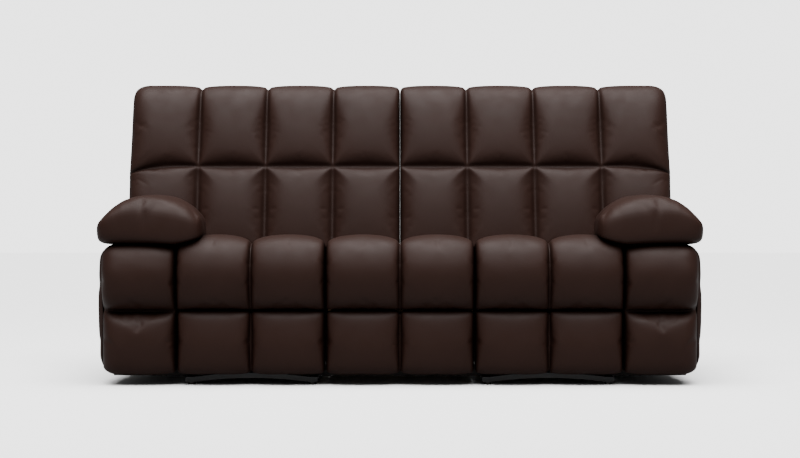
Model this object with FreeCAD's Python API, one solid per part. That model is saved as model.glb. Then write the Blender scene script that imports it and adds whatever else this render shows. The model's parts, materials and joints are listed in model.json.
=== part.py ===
import FreeCAD, Part
import math
import os

# A three-seat reclining sofa. Millimetres, +X to the viewer's right, +Y to the back, +Z up,
# origin on the floor under the middle of its bounding box. Side profiles are written as
# pairs (forward, up), measured forward from a datum plane that stands datum_y behind the origin.
V = FreeCAD.Vector
datum_y = 34.1

# Columns and clearances
column_pitch = 255.0
seat_columns = 2
soft_gap = 1.5
rest_gap = 0.3
overcut = 1.0
seat_width = column_pitch * seat_columns
seat_centre_x = seat_width
arm_inner_x = seat_centre_x + seat_width / 2

# Floor, base and row heights
glide_height = 9.0
glide_radius = 12.0
rail_height = 17.0
cross_rail_height = 36.0
panel_bottom = 43.0
row_seam_z = 254.0
rail_top = glide_height + rail_height
frame_bottom = rail_top + cross_rail_height

# Tufted front of the seats, arms and footrests
board_front = 392.0
seam_front = 470.0
seat_crown = 35.0
lower_seam_front = 432.0
lower_crown = 42.0
lower_edge_swell = 8.0
lower_middle = 6.0
lower_foot_round = 9.0
lower_foot_turn = 10.0
lower_foot_fall = 28.0
lower_foot_lift = 1.5
pad_top_gap = 5.0
pad_top_slope = 4.0
pad_heel = 20.0
pad_brow = 18.0
arc_chords = 4
flat_volume = 1.0
plane_tolerance = 0.01
tuft_stations = (
    (0.0, 0.0), (0.05, 0.34), (0.17, 0.74), (0.36, 0.96),
    (0.64, 0.96), (0.83, 0.74), (0.95, 0.34), (1.0, 0.0),
)
end_stations = ((0.64, 0.96, 0.0), (0.82, 0.74, 4.0), (0.93, 0.4, 14.0), (0.98, 0.15, 26.0), (1.0, 0.0, 40.0))

# Seat deck and cushion
seat_rear = -55.0
deck_bottom = 300.0
deck_thickness = 25.0
strap_thickness = 3.0
strap_width = 50.0
strap_count = 5
cushion_bottom = deck_bottom + deck_thickness + strap_thickness + rest_gap
seat_top_rear = 440.0
seat_top_front = 490.0
seat_top_crown = 19.0
roll_top_forward = 400.0
roll_front_z = 375.0
lip_forward = 440.0
lip_inner = 430.0
lip_z = row_seam_z + 2.0
lip_swell = 8.0
seat_end_droop = 12.0
seat_rear_round = 28.0
seat_rear_soft = 8.0
seat_rear_swell = 0.8
seat_hollow = 4.0
seat_hollow_run = 215.0
shoulder_forward = 21.0
shoulder_fall = 36.0
belly_forward = 9.0
belly_rise = 48.0
roll_heel = 3.0
deck_front = roll_top_forward - 15.0
seat_frame_lap = 2.0
seat_strap_inset = 20.0
centre_strap_inset = 30.0

# Arm
arm_width = 231.0
arm_outer_x = arm_inner_x + arm_width
arm_board = 18.0
arm_shoulder_forward = 22.0
arm_shoulder_fall = 42.0
arm_frame_gap = 5.0
arm_lid_gap = 2.0
arm_top = 480.0
arm_top_rear = -40.0
arm_rear = -290.0
arm_rear_top = 330.0
arm_slope = (arm_top - arm_rear_top) / (arm_top_rear - arm_rear)
rear_board_top = 300.0
rear_board_lap = 3.0
centre_rear_top = 200.0
front_overlap = 20.0
arm_front_end_x = arm_outer_x + front_overlap
side_swell = 29.0
side_panel_reach = arm_outer_x + side_swell
side_stations = (0.55, 1.0, 1.0, 0.8)
side_low_share = 0.4
side_high_share = 0.5
side_panel_rear = arm_rear - 10.0
side_front_run = 30.0
side_overcut = 5.0
side_cut_reach = 20.0
side_rear_fall = 8.0
pad_front = 503.0
pad_rear = -44.0
pad_top = 645.0
pad_widest_z = 545.0
pad_outer_x = arm_outer_x + 60.0
pad_inner_x = arm_inner_x - 97.0
pad_crown_x = arm_inner_x + 100.0
pad_foot_reach = 14.0
pad_edge_round = 4.0
pad_lip_round = 6.0
pad_edge_height = 24.0
pad_edge_middle = 11.0
pad_under_round = 9.0
pad_under_fall = 36.0
pad_outer_shoulder = 46.0
pad_outer_fall = 34.0
pad_inner_shoulder = 76.0
pad_inner_fall = 27.0
pad_belly_reach = 50.0
pad_belly_fall = 40.0
pad_front_stations = (
    (0.0, 0.88, 0.35), (4.0, 0.93, 0.6), (16.0, 0.965, 0.8), (38.0, 0.985, 0.93), (80.0, 1.0, 1.0),
)
pad_rear_stations = ((90.0, 1.0, 0.98), (30.0, 0.985, 0.9), (8.0, 0.965, 0.76), (0.0, 0.93, 0.6))

# Back, in its own tilted plane: depth behind the front seams, height above the waist seam
back_tilt = math.radians(15.0)
waist_forward = -166.0
waist_z = 780.0
back_inner_x = 4.0
back_outer_x = 1020.0
back_crown = 30.0
back_top = 316.0
back_top_crown = 14.0
back_face_draw = 0.6
back_seam_draw = 0.3
back_seam_depth = 6.0
back_top_share = 0.4
back_top_setback = 8.0
back_brow_share = 0.3
back_upper_belly = 10.0
back_upper_middle = 0.45
back_lower_belly = 12.0
back_lower_middle = 0.48
back_brow = 56.0
back_top_depth = 38.0
back_top_round = 18.0
back_rear_fall = 30.0
back_rear_round = 28.0
back_rear_soft = 6.0
back_foot_rise = 18.0
back_foot_round = 5.0
cushion_foot = -352.0
wing_foot = -290.0
frame_front = 130.0
frame_thickness = 22.0
frame_rail = 45.0
panel_depth = 205.0
panel_top = 285.0
panel_foot = -462.0
panel_fillet = 22.0
back_strap_thickness = 2.5
back_strap_count = 6
cushion_depth = frame_front - back_strap_thickness - rest_gap
bracket_top = wing_foot + 55.0
bracket_low = 40.0
back_rail_margin = 50.0
back_rail_drop = 60.0
back_foot_clear = 90.0

# Mechanism, with its sheets and links in layers across each seat
base_inset = 29.0
base_half_width = seat_width / 2 - base_inset
base_rail_width = 28.0
base_front = 405.0
base_rear = -290.0
base_bar = 20.0
arch_rise = 14.0
glide_inset = 4.0
glide_setback = 6.0
sheet = 4.0
layer_gap = 1.0
upright_outer = base_half_width
upright_inner = upright_outer - sheet
slide_gap = 9.0
carriage_outer = upright_inner - slide_gap
carriage_inner = carriage_outer - sheet
link_a_outer = carriage_inner - layer_gap
link_a_inner = link_a_outer - sheet
link_b_outer = link_a_inner - layer_gap
link_b_inner = link_b_outer - sheet
slide_travel = 60.0
slide_z = 254.0
slide_height = 15.4
slide_clearance = 0.3
track_lip = 4.0
track_front = 190.0
track_rear = -110.0
post_width = 40.0
slide_edge = 6.0
slider_spare = 10.0
leg_front = 29.0
leg_back = 43.0
leg_foot = 12.0
leg_taper = 20.0
arm_of_back = 60.0
front_rail_forward = 340.0
cross_rail_depth = 40.0

# Footrest linkage: crossing links of one length, a low fixed pivot and three crossings
link_length = 150.0
link_width = 20.0
pivot_radius = 5.0
pivot_clearance = 0.25
pin_sides = 12
tube_sides = 20
bar_end_chords = 6
boss_radius = 8.0
pin_end = 1.5
guide_pin_end = 0.4
fixed_pivot = (233.0, 80.0)
angle_a = -78.0
angle_b = 78.0
turn_a = 90.0
turn_b = -48.0
slot_clearance = 0.6
slot_steps = 10
tube_radius = 10.0
tube_wall = 2.0
board_thickness = 12.0
board_inset = 6.0
bracket_fall = 15.0
bracket_flare = 25.0
bracket_lean = 2.0
board_bottom = 60.0
board_top = 234.0
back_pivot = (-150.0, deck_bottom)
back_pivot_eye = 16.0

# Release handle in the outer side of each arm
handle_forward = 150.0
handle_z = 400.0
bezel_length = 118.0
bezel_height = 72.0
bezel_wall = 6.0
bezel_back = 3.0
paddle_length = 100.0
paddle_height = 38.0
paddle_thickness = 5.0
paddle_gap = 0.5
paddle_inset = 1.0
axle_radius = 3.0
axle_play = 0.5
finger_lip = 6.0


def place(x, forward, up):
    """A point from its side-profile pair."""
    return V(x, datum_y - forward, up)


def back_place(x, depth, height):
    """A point in the tilted plane of the back."""
    forward = waist_forward - height * math.sin(back_tilt) - depth * math.cos(back_tilt)
    up = waist_z + height * math.cos(back_tilt) - depth * math.sin(back_tilt)
    return place(x, forward, up)


def outline(x, start, steps, put=place):
    """A closed wire at x: each step is (end,) for a line or (middle, end) for an arc."""
    edges = []
    here = put(x, *start)
    for step in steps + [(start,)]:
        end = put(x, *step[-1])
        if len(step) == 2:
            edges.append(Part.Arc(here, put(x, *step[0]), end).toShape())
        elif here.distanceToPoint(end) > 1e-6:
            edges.append(Part.LineSegment(here, end).toShape())
        here = end
    return Part.Wire(edges)


def polygon(x, corners, put=place):
    """A closed straight-sided wire at x."""
    return outline(x, corners[0], [(corner,) for corner in corners[1:]], put)


def slab(wire, thickness):
    """A wire at one x made solid towards larger x."""
    return Part.Face(wire).extrude(V(thickness, 0, 0))


def block(x0, x1, rear, front, z0, z1):
    """A box from its two ends across, its rear and front and its heights."""
    return Part.makeBox(x1 - x0, front - rear, z1 - z0, place(x0, front, z0))


def back_block(x0, x1, depth0, depth1, height0, height1):
    """A box that lies in the tilted plane of the back."""
    corners = [(depth0, height0), (depth1, height0), (depth1, height1), (depth0, height1)]
    return slab(polygon(x0, corners, back_place), x1 - x0)


def ring_points(radius, sides):
    """The corners of a regular outline, as pairs about its middle."""
    turns = [2.0 * math.pi * (index + 0.5) / sides for index in range(sides)]
    return [(radius * math.cos(turn), radius * math.sin(turn)) for turn in turns]


def rod(x0, x1, centre, radius, sides=pin_sides):
    """A bar across the sofa, with enough sides to pass for round."""
    corners = [(centre[0] + forward, centre[1] + up) for forward, up in ring_points(radius, sides)]
    return slab(polygon(x0, corners), x1 - x0)


def bore_radius(radius):
    """The size of the hole that a rod turns in, its flats clear of the rod's corners."""
    return (radius + pivot_clearance) / math.cos(math.pi / pin_sides)


def bore(x0, x1, centre, radius):
    """The hole that a rod of this radius turns in."""
    return rod(x0, x1, centre, bore_radius(radius))


def long_rod(start, end, radius, sides=pin_sides):
    """A bar from front to back or upright, between two points in line with Y or Z."""
    axis = end - start
    if abs(axis.y) > abs(axis.z):
        points = [start + V(a, 0, b) for a, b in ring_points(radius, sides)]
    else:
        points = [start + V(a, b, 0) for a, b in ring_points(radius, sides)]
    return Part.Face(Part.makePolygon(points + [points[0]])).extrude(axis)


def chord_points(edge):
    """The start of a straight edge, or the starts of the equal chords of an arc."""
    chords = 1 if edge.Curve.TypeId == "Part::GeomLine" else arc_chords
    return edge.discretize(chords + 1)[:-1]


def facet(points):
    """A flat face through three or four points."""
    return Part.Face(Part.makePolygon(points + [points[0]]))


def faceted_loft(wires):
    """A solid through sections of as many corners each, in flat facets, so that it stays light."""
    rows = [[corner for edge in wire.Edges for corner in chord_points(edge)] for wire in wires]
    faces = [facet(rows[0]), facet(rows[-1])]
    for near, far in zip(rows, rows[1:]):
        for index in range(len(near)):
            after = (index + 1) % len(near)
            a, b, c, d = near[index], near[after], far[after], far[index]
            if abs((b - a).cross(d - a).dot(c - a)) < flat_volume:
                faces.append(facet([a, b, c, d]))
            elif a.distanceToPoint(c) <= b.distanceToPoint(d):
                faces += [facet([a, b, c]), facet([a, c, d])]
            else:
                faces += [facet([a, b, d]), facet([b, c, d])]
    solid = Part.Solid(Part.Shell(faces))
    if solid.Volume < 0:
        solid.reverse()
    return solid.removeSplitter()


def both_sides(make, inner, outer):
    """The same piece on both sides of a seat: make(x0, x1) at each."""
    right = make(seat_centre_x + inner, seat_centre_x + outer)
    left = make(seat_centre_x - outer, seat_centre_x - inner)
    return [right, left]


def fuse(shapes):
    """One solid from several."""
    joined = shapes[0].fuse(shapes[1:]) if len(shapes) > 1 else shapes[0]
    return joined.removeSplitter()


def save(name, solids):
    """One node as one file."""
    shape = solids[0] if len(solids) == 1 else Part.makeCompound(solids)
    shape.exportStep("parts/" + name + ".step")


def save_pair(name, solids):
    """The node of the right side, and its mirror image on the left."""
    save("right_" + name, solids)
    save("left_" + name, [solid.mirror(V(0, 0, 0), V(1, 0, 0)) for solid in solids])


# Soft forms: each tufted column is one loft through its seam, quarter and middle sections


def column(profile, x0, x1):
    """One column between two seams. profile(x, swell) gives a section."""
    sections = [profile(x0 + (x1 - x0) * fraction, swell) for fraction, swell in tuft_stations]
    return faceted_loft(sections)


def end_column(profile, x_seam, x_end):
    """A column whose far end is a free, rounded edge. profile also takes how far it is drawn in."""
    run = x_end - x_seam
    near = [(fraction, swell, 0.0) for fraction, swell in tuft_stations if fraction < end_stations[0][0]]
    stations = near + list(end_stations)
    return faceted_loft([profile(x_seam + run * part, swell, drawn) for part, swell, drawn in stations])


def seat_profile(x, swell, droop=0.0):
    """Seat cushion: flat foot on the straps, low rear, and the front roll with its lip."""
    top = seat_top_front + seat_top_crown * swell - droop
    rear_top = seat_top_rear + seat_top_crown * seat_rear_swell * swell - droop
    front = seam_front + seat_crown * swell
    lip = lip_forward + lip_swell * swell
    steps = [
        ((seat_rear, rear_top - seat_rear_round),),
        ((seat_rear + seat_rear_soft, rear_top - seat_rear_soft), (seat_rear + seat_rear_round, rear_top)),
        ((seat_rear + seat_hollow_run, (top + rear_top) / 2 - seat_hollow), (roll_top_forward, top)),
        ((front - shoulder_forward, top - shoulder_fall), (front, roll_front_z)),
        ((front - belly_forward, row_seam_z + belly_rise), (lip, lip_z)),
        ((lip_inner, lip_z),),
        ((roll_top_forward - roll_heel, cushion_bottom),),
    ]
    return outline(x, (seat_rear, cushion_bottom), steps)


def lower_front(swell):
    """The two arcs of a lower tuft's front face, from its top seam to its foot."""
    edge = lower_seam_front + lower_edge_swell * swell
    middle = lower_seam_front + lower_middle + lower_crown * swell
    return edge, middle


def lower_foot(edge):
    """The arc under a lower tuft, from its front to its foot."""
    turn = (edge - lower_foot_turn, panel_bottom + lower_foot_lift)
    return (turn, (edge - lower_foot_fall, panel_bottom))


def pad_profile(x, swell):
    """Footrest pad and centre front panel: flat on the board, its top sloped to pass the roll."""
    edge, middle = lower_front(swell)
    rear = board_front + rest_gap
    steps = [
        ((rear, board_top - pad_top_slope * 2),),
        ((rear + pad_brow, board_top + pad_top_slope), (edge, row_seam_z - pad_top_gap)),
        ((middle, (row_seam_z + panel_bottom) / 2), (edge, panel_bottom + lower_foot_round)),
        lower_foot(edge),
        ((rear, panel_bottom),),
    ]
    return outline(x, (rear, panel_bottom + pad_heel), steps)


def arm_front_profile(x, swell, drawn=0.0):
    """Arm front: a lower and an upper tuft with the row seam between them."""
    edge, middle = lower_front(swell)
    rear = board_front + rest_gap
    front = seam_front + seat_crown * swell - drawn
    edge -= drawn / 2
    top = arm_top - arm_lid_gap
    steps = [
        ((rear, top),),
        ((rear + pad_heel, top),),
        ((front - arm_shoulder_forward, top - arm_shoulder_fall), (front, roll_front_z)),
        ((front - belly_forward, row_seam_z + belly_rise), (edge, row_seam_z)),
        ((middle - drawn, (row_seam_z + panel_bottom) / 2), (edge, panel_bottom + lower_foot_round)),
        lower_foot(edge),
    ]
    return outline(x, (rear, panel_bottom), steps)


def back_profile(x, swell, drawn=0.0, foot=cushion_foot):
    """Back cushion: lower row, waist seam and upper row, flat behind."""
    apex = back_top + back_top_crown * swell - drawn
    face = drawn * back_face_draw - back_crown * swell
    seam = back_seam_depth + drawn * back_seam_draw
    brow = apex - back_brow
    steps = [
        ((cushion_depth, back_top - back_rear_fall - drawn),),
        ((cushion_depth - back_rear_round, apex - back_rear_soft), (back_top_depth, apex)),
        ((face * back_top_share + back_top_setback, apex - back_top_round), (face * back_brow_share, brow)),
        ((face - back_upper_belly, brow * back_upper_middle), (seam, 0.0)),
        ((face - back_lower_belly, foot * back_lower_middle), (seam, foot + back_foot_rise)),
        ((seam + back_foot_round, foot + back_foot_round), (seam + back_foot_rise, foot)),
    ]
    return outline(x, (cushion_depth, foot), steps, back_place)


def wing_profile(x, swell, drawn=0.0):
    """The back's outer column, which ends above the arm."""
    return back_profile(x, swell, drawn, wing_foot)


def seat_cushion(x_inner, x_outer):
    """Two columns; the outer end droops under the arm pad."""
    middle = (x_inner + x_outer) / 2

    def outer_profile(x, swell):
        share = max(0.0, (x - middle) / (x_outer - middle) - 0.5) * 2.0
        return seat_profile(x, swell, seat_end_droop * share)

    return fuse([column(seat_profile, x_inner, middle), column(outer_profile, middle, x_outer)])


def pad_section(forward, spread, rise):
    """Arm pad across: flat foot on the arm, crown on top, thin edge over the seat."""
    def point(x, z):
        across = pad_crown_x + (x - pad_crown_x) * spread
        return place(across, forward, pad_widest_z + (z - pad_widest_z) * rise)

    foot = arm_top + rest_gap
    corners = [
        (arm_inner_x, foot + overcut),
        (arm_outer_x + pad_foot_reach, foot),
        (pad_outer_x, pad_widest_z),
        (pad_crown_x, pad_top),
        (pad_inner_x + pad_edge_round, pad_widest_z),
        (pad_inner_x + pad_lip_round, pad_widest_z - pad_edge_height),
    ]
    middles = [
        None,
        (pad_outer_x - pad_under_round, pad_widest_z - pad_under_fall),
        (pad_outer_x - pad_outer_shoulder, pad_top - pad_outer_fall),
        (pad_inner_x + pad_inner_shoulder, pad_top - pad_inner_fall),
        (pad_inner_x, pad_widest_z - pad_edge_middle),
        (pad_inner_x + pad_belly_reach, pad_widest_z - pad_belly_fall),
    ]
    edges = []
    for index, corner in enumerate(corners):
        following = corners[(index + 1) % len(corners)]
        if middles[index] is None:
            edges.append(Part.LineSegment(point(*corner), point(*following)).toShape())
        else:
            edges.append(Part.Arc(point(*corner), point(*middles[index]), point(*following)).toShape())
    return Part.Wire(edges)


def arm_pad():
    """The pillow on the arm, rounded at its front and rear ends."""
    sections = [pad_section(pad_front - behind, spread, rise) for behind, spread, rise in pad_front_stations]
    sections += [pad_section(pad_rear + ahead, spread, rise) for ahead, spread, rise in pad_rear_stations]
    return faceted_loft(sections)


def side_panel():
    """The padded outer side of the arm, with the handle's pocket and the cover round the arm's rear."""
    skin = arm_outer_x + rest_gap
    top = arm_top - arm_lid_gap

    def across(forward, bulge):
        y = datum_y - forward
        start = V(skin, y, panel_bottom)
        low = V(skin + bulge * side_low_share, y, panel_bottom)
        middle = V(skin + bulge, y, (panel_bottom + top) / 2)
        high = V(skin + bulge * side_high_share, y, top)
        end = V(skin, y, top)
        edges = [Part.LineSegment(start, low), Part.Arc(low, middle, high)]
        edges += [Part.LineSegment(high, end), Part.LineSegment(end, start)]
        return Part.Wire([edge.toShape() for edge in edges])

    full = side_panel_reach - skin
    places = (board_front, board_front - side_front_run, 0.0, side_panel_rear)
    body = faceted_loft([across(forward, full * share) for forward, share in zip(places, side_stations)])
    beyond = side_panel_rear - side_overcut
    top_cut = [
        (arm_top_rear, top + side_overcut),
        (beyond, top + side_overcut),
        (beyond, arm_rear_top - side_rear_fall),
        (arm_rear, arm_rear_top - arm_lid_gap),
    ]
    reach = side_panel_reach + side_cut_reach
    slope = slab(polygon(arm_outer_x - side_overcut, top_cut), reach - arm_outer_x)
    pocket = bezel_outline(rest_gap, arm_outer_x - overcut, reach)
    return body.cut(slope).cut(pocket)


def bezel_outline(grow, x0, x1):
    """The rounded block that the release handle's housing fills."""
    half_length = bezel_length / 2 + grow
    half_height = bezel_height / 2 + grow
    low = handle_z - half_height
    high = handle_z + half_height
    body = block(x0, x1, handle_forward - half_length, handle_forward + half_length, low, high)
    upright_edges = [edge for edge in body.Edges if abs(edge.tangentAt(edge.FirstParameter).x) > 0.9]
    return body.makeFillet(bezel_wall + grow, upright_edges)


def axle_centre():
    """The handle's axle, as near the top of its housing as the paddle's swing allows."""
    corner = math.hypot(paddle_thickness + axle_radius - paddle_inset, axle_radius)
    return handle_z + bezel_height / 2 - bezel_wall - corner - paddle_gap


def handle_bezel():
    """The housing: a shallow cup with a hole for the axle at each end."""
    body = bezel_outline(0.0, arm_outer_x, side_panel_reach)
    half_length = bezel_length / 2 - bezel_wall
    half_height = bezel_height / 2 - bezel_wall
    cup = block(
        arm_outer_x + bezel_back, side_panel_reach + overcut,
        handle_forward - half_length, handle_forward + half_length,
        handle_z - half_height, handle_z + half_height,
    )
    axle_x = side_panel_reach - paddle_thickness - axle_radius
    bore_length = bezel_length - bezel_wall
    start = V(axle_x, datum_y - handle_forward - bore_length / 2, axle_centre())
    hole = long_rod(start, start + V(0, bore_length, 0), bore_radius(axle_radius))
    return body.cut(cup).cut(hole)


def release_handle():
    """The paddle with its axle and the lip that a finger pulls."""
    axle_x = side_panel_reach - paddle_thickness - axle_radius
    outer = side_panel_reach - paddle_inset
    top = axle_centre() + axle_radius
    half = paddle_length / 2
    rear = handle_forward - half
    front = handle_forward + half
    low = top - paddle_height
    paddle = block(outer - paddle_thickness, outer, rear, front, low, top)
    lip = block(outer - paddle_thickness - finger_lip, outer, rear, front, low, low + paddle_thickness)
    axle_length = bezel_length - bezel_wall - axle_play * 2
    start = V(axle_x, datum_y - handle_forward - axle_length / 2, axle_centre())
    axle = long_rod(start, start + V(0, axle_length, 0), axle_radius)
    return fuse([paddle, lip, axle])


def arm_frame():
    """The wooden box of the arm, open below, with its sloped rear top."""
    def profile(inset, foot):
        drop = inset * math.hypot(1.0, arm_slope)
        return [
            (board_front - inset, foot),
            (board_front - inset, arm_top - inset),
            (arm_top_rear + (drop - inset) / arm_slope, arm_top - inset),
            (arm_rear + inset, arm_rear_top + arm_slope * inset - drop),
            (arm_rear + inset, foot),
        ]

    x0 = arm_inner_x + arm_frame_gap
    body = slab(polygon(x0, profile(0.0, frame_bottom)), arm_outer_x - x0)
    hollow_width = arm_outer_x - x0 - arm_board * 2
    hollow = slab(polygon(x0 + arm_board, profile(arm_board, frame_bottom - overcut)), hollow_width)
    return body.cut(hollow)


def strap_row(x0, x1, front):
    """Webbing straps over a seat deck, from its rear to this front."""
    pitch = (x1 - x0 - strap_width) / (strap_count - 1)
    low = deck_bottom + deck_thickness
    starts = [x0 + pitch * index for index in range(strap_count)]
    return [block(x, x + strap_width, seat_rear, front, low, low + strap_thickness) for x in starts]


def seat_frame():
    """The hardwood frame under a reclining seat."""
    half = carriage_outer + seat_frame_lap
    x0 = seat_centre_x - half
    x1 = seat_centre_x + half
    rail = deck_thickness
    top = deck_bottom + deck_thickness
    body = block(x0, x1, seat_rear, deck_front, deck_bottom, top)
    rear = seat_rear + rail
    front = deck_front - rail
    return body.cut(block(x0 + rail, x1 - rail, rear, front, deck_bottom - overcut, top + overcut))


# Mechanism


def direction(angle):
    """A unit pair from an angle in degrees, forward towards up."""
    return (math.cos(math.radians(angle)), math.sin(math.radians(angle)))


def along(start, first, a=0.0, b=0.0, travel=0.0):
    """A pair reached from start by a link lengths along the a-links and b along the b-links."""
    unit_a = direction(angle_a + turn_a * travel)
    unit_b = direction(angle_b + turn_b * travel)
    forward = start[0] + first * link_length * (a * unit_a[0] + b * unit_b[0])
    up = start[1] + first * link_length * (a * unit_a[1] + b * unit_b[1])
    return (forward, up)


def crossing(stage):
    """Where the two links of a stage cross."""
    return along(fixed_pivot, 1.0, (stage - 1) / 2, stage / 2)


def upper_joint(stage, travel=0.0):
    """The upper joint after a stage; stage 0 is the guided upper end of the first a-link."""
    return along(fixed_pivot, 1.0, (stage - 1) / 2, (stage + 1) / 2, travel)


def lower_joint(stage):
    """The lower joint after a stage; stage 0 is the fixed pivot."""
    return along(fixed_pivot, 1.0, stage / 2, stage / 2)


def bar_wire(x, start, end, radius):
    """A flat bar with rounded ends."""
    heading = math.atan2(end[1] - start[1], end[0] - start[0])
    corners = []
    for centre, turn in ((end, -0.5), (start, 0.5)):
        for step in range(bar_end_chords + 1):
            angle = heading + math.pi * (turn + step / bar_end_chords)
            corners.append((centre[0] + radius * math.cos(angle), centre[1] + radius * math.sin(angle)))
    return polygon(x, corners)


def link_with_pins(start, end, pins):
    """An a-link on both sides of the seat, with the rivets that hold the b-links."""
    def make(x0, x1):
        body = [slab(bar_wire(x0, start, end, link_width / 2), x1 - x0)]
        inward = -1.0 if x0 > seat_centre_x else 1.0
        face = x0 if inward < 0 else x1
        shank = layer_gap + sheet + pin_end
        for pin in pins:
            root = min(face, face + inward * shank)
            body.append(rod(root, root + shank, pin, pivot_radius))
        return fuse(body)

    return both_sides(make, link_a_inner, link_a_outer)


def link_with_holes(start, end, holes):
    """A b-link on both sides of the seat."""
    def make(x0, x1):
        body = slab(bar_wire(x0, start, end, link_width / 2), x1 - x0)
        for hole in holes:
            body = body.cut(bore(x0 - overcut, x1 + overcut, hole, pivot_radius))
        return body

    return both_sides(make, link_b_inner, link_b_outer)


def first_a_link():
    """The first a-link, with the guide pins that run in the slots of the side plates."""
    top = upper_joint(0)
    sides = link_with_pins(top, lower_joint(1), [crossing(1), lower_joint(1)])
    pin_outer = carriage_outer + guide_pin_end
    pins = both_sides(lambda x0, x1: rod(x0, x1, top, pivot_radius), link_a_outer, pin_outer)
    return [fuse([side, pin]) for side, pin in zip(sides, pins)]


def drive_tube():
    """The cross tube that holds the two first links together."""
    top = upper_joint(0)
    x0 = seat_centre_x - link_a_inner
    x1 = seat_centre_x + link_a_inner
    hollow = rod(x0 - overcut, x1 + overcut, top, tube_radius - tube_wall, tube_sides)
    return rod(x0, x1, top, tube_radius, tube_sides).cut(hollow)


def slot_cut(x0, x1):
    """The curved guide slot, along the path of the first link's upper end."""
    radius = pivot_radius + slot_clearance
    path = [upper_joint(0, step / slot_steps) for step in range(slot_steps + 1)]
    front = []
    rear = []
    for index, point in enumerate(path):
        before = path[max(index - 1, 0)]
        after = path[min(index + 1, slot_steps)]
        length = math.hypot(after[0] - before[0], after[1] - before[1])
        side = ((before[1] - after[1]) / length * radius, (after[0] - before[0]) / length * radius)
        front.append((point[0] + side[0], point[1] + side[1]))
        rear.append((point[0] - side[0], point[1] - side[1]))
    channel = slab(polygon(x0, front + rear[::-1]), x1 - x0)
    return fuse([channel, rod(x0, x1, path[0], radius), rod(x0, x1, path[-1], radius)])


def carriage():
    """The two side plates that carry the seat, the back pivots and the footrest linkage."""
    front = fixed_pivot[0] + leg_front
    leg_rear = fixed_pivot[0] - leg_back
    foot = fixed_pivot[1] - leg_foot
    slide_low = slide_z - slide_height / 2 - slide_edge
    reach = upright_inner - carriage_outer - layer_gap / 2

    def make(x0, x1):
        outward = 1.0 if x0 > seat_centre_x else -1.0
        rear = back_pivot[0]
        eye = back_pivot_eye
        steps = [
            ((front, deck_bottom),),
            ((front, foot + leg_foot),),
            ((front - leg_foot / 3, foot + leg_foot / 3), (front - leg_foot, foot)),
            ((leg_rear + leg_taper, foot),),
            ((leg_rear, foot + leg_taper * 2),),
            ((leg_rear, slide_low),),
            ((rear + arm_of_back, slide_low),),
            ((rear, back_pivot[1] - eye),),
            ((rear - eye, back_pivot[1]), (rear, back_pivot[1] + eye)),
            ((rear + arm_of_back, back_pivot[1] + eye),),
        ]
        plate = slab(outline(x0, (seat_rear, deck_bottom), steps), x1 - x0)
        plate = plate.cut(slot_cut(x0 - overcut, x1 + overcut))
        slide_x0 = x1 if outward > 0 else x0 - reach
        slide_front = track_front - slide_travel - slider_spare
        slide_rear = track_rear + post_width
        low = slide_z - slide_height / 2
        slider = block(slide_x0, slide_x0 + reach, slide_rear, slide_front, low, low + slide_height)
        face = x0 if outward > 0 else x1
        pieces = [plate, slider]
        boss_length = layer_gap * 2 + sheet
        boss_x = min(face, face - outward * boss_length)
        pieces.append(rod(boss_x, boss_x + boss_length, fixed_pivot, boss_radius))
        shank = boss_length + sheet + pin_end
        shank_x = min(face, face - outward * shank)
        pieces.append(rod(shank_x, shank_x + shank, fixed_pivot, pivot_radius))
        shank = layer_gap + sheet + pin_end
        shank_x = min(face, face - outward * shank)
        pieces.append(rod(shank_x, shank_x + shank, back_pivot, pivot_radius))
        return fuse(pieces)

    return both_sides(make, carriage_inner, carriage_outer)


def footrest_board():
    """The board of the footrest with the two brackets that the linkage carries."""
    half = seat_width / 2 - board_inset
    rear = board_front - board_thickness
    panel = block(seat_centre_x - half, seat_centre_x + half, rear, board_front, board_bottom, board_top)
    top = upper_joint(3)
    middle = along(top, 1.0, 0.5)
    radius = link_width / 2

    def make(x0, x1):
        steps = [
            ((top[0], top[1] + radius), (top[0] + radius, top[1])),
            ((rear, top[1] - bracket_fall),),
            ((rear, middle[1] - bracket_flare),),
            ((middle[0], middle[1] - radius),),
            ((middle[0] - radius, middle[1] - bracket_lean),),
        ]
        plate = slab(outline(x0, (top[0] - radius, top[1]), steps), x1 - x0)
        inward = -1.0 if x0 > seat_centre_x else 1.0
        face = x0 if inward < 0 else x1
        shank = layer_gap + sheet + pin_end
        pieces = [plate]
        for pin in (top, middle):
            root = min(face, face + inward * shank)
            pieces.append(rod(root, root + shank, pin, pivot_radius))
        return fuse(pieces)

    return [fuse([panel] + both_sides(make, link_a_inner, link_a_outer))]


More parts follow.
